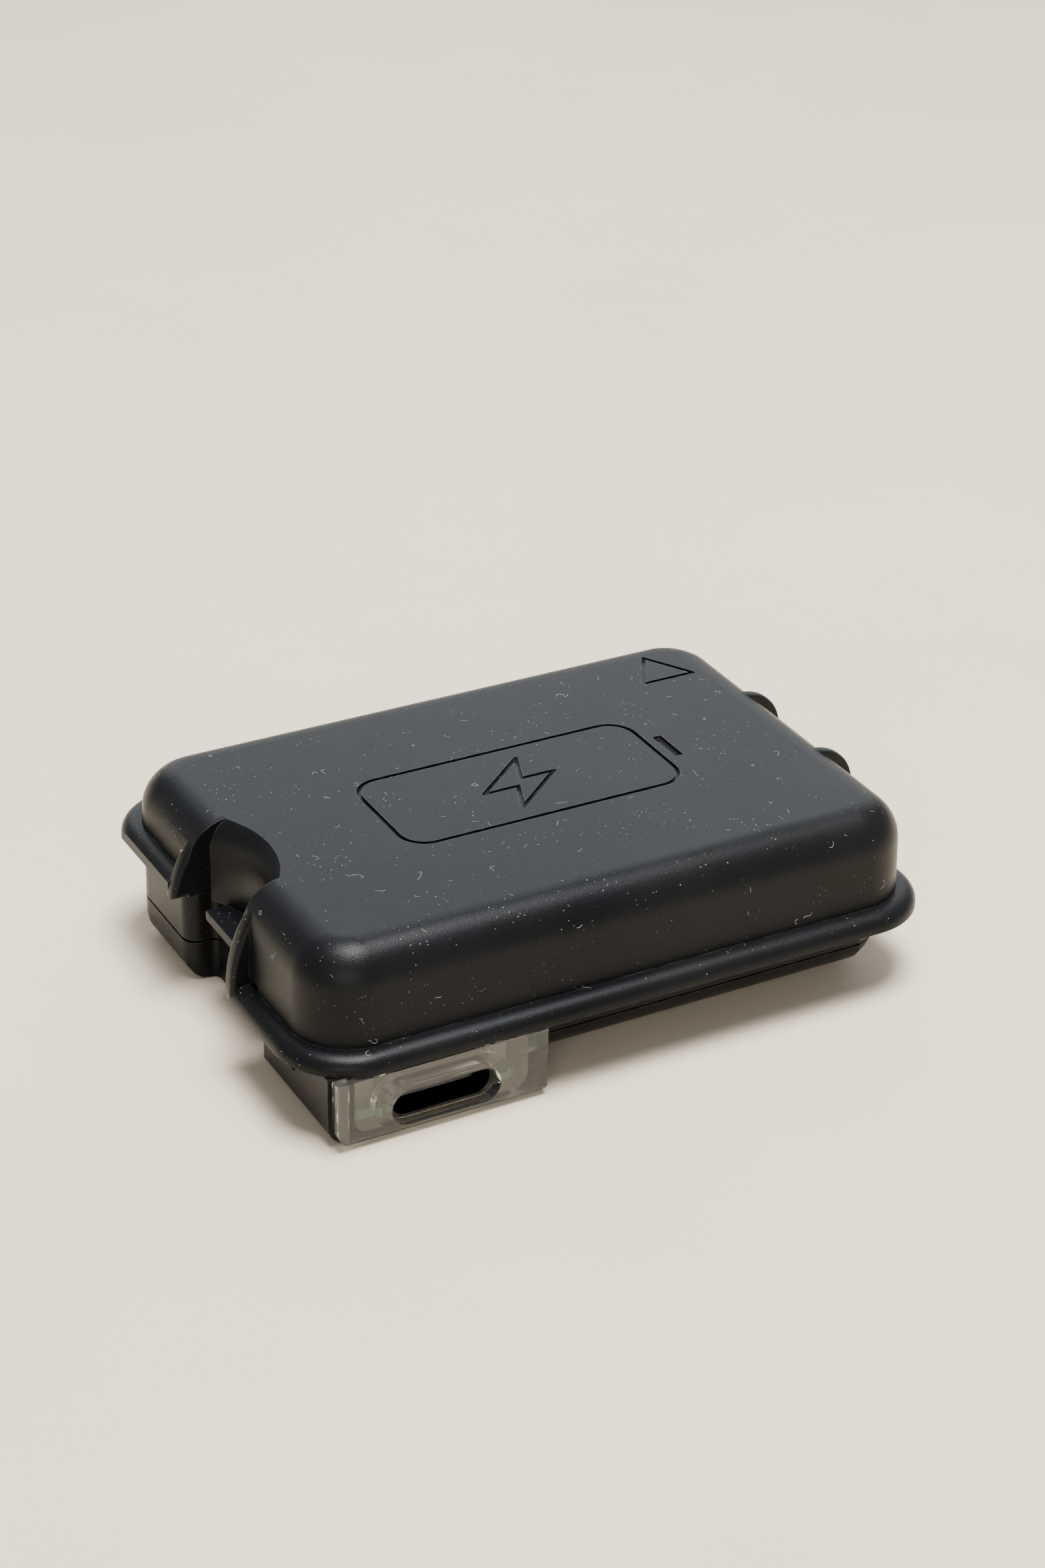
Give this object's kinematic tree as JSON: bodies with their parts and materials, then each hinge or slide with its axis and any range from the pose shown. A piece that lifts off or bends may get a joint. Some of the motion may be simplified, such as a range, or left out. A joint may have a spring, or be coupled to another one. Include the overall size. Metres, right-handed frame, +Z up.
{
  "type": "headlamp battery pack",
  "caption": "Flat sealed rechargeable battery pack for a headlamp, black two-part casing with a latch channel, end lugs and a clear USB-C charging window.",
  "frame": {"origin": "centre of the bounding box on the bottom face, where the pack rests", "axes": "+X along the long side towards the two lugs, +Y away from the charging port, +Z up through the engraved top face"},
  "size_m": [0.0558, 0.0398, 0.0151],
  "materials": {
    "casing_black": "fine spark-eroded black plastic",
    "window_clear": "clear moulded plastic",
    "seal_rubber": "soft grey-black rubber",
    "shell_steel": "black nickel plated stainless sheet",
    "contact_gold": "gold-plated copper alloy",
    "contact_nickel": "nickel-plated strip",
    "board_green": "green solder mask over fibreglass",
    "resin_black": "moulded black resin",
    "led_white": "white resin with clear lens",
    "ceramic_tan": "fired ceramic",
    "ferrite_grey": "sintered ferrite",
    "pouch_foil": "laminated aluminium pouch foil",
    "tape_amber": "amber polyimide tape",
    "foam_grey": "closed-cell foam"
  },
  "bodies": {
    "root": {"upper_casing": "casing_black", "lower_casing": "casing_black", "seam_seal": "seal_rubber", "charge_window": "window_clear", "usb_shell": "shell_steel", "usb_tongue": "resin_black", "charge_controller": "resin_black", "protection_controller": "resin_black", "power_switch": "resin_black", "regulator": "resin_black", "cc_resistor_a": "resin_black", "cc_resistor_b": "resin_black", "sense_resistor": "resin_black", "thermistor": "resin_black", "usb_contacts_upper": "contact_gold", "usb_contacts_lower": "contact_gold", "circuit_board": "board_green", "status_led_left": "led_white", "status_led_right": "led_white", "inductor": "ferrite_grey", "input_capacitor": "ceramic_tan", "output_capacitor": "ceramic_tan", "cell_capacitor": "ceramic_tan", "battery_cell": "pouch_foil", "positive_tab": "contact_nickel", "negative_tab": "contact_nickel", "positive_contact": "contact_nickel", "data_contact": "contact_nickel", "negative_contact": "contact_nickel", "edge_tape": "tape_amber", "board_pad": "foam_grey", "top_pad": "foam_grey"}
  },
  "joints": []
}
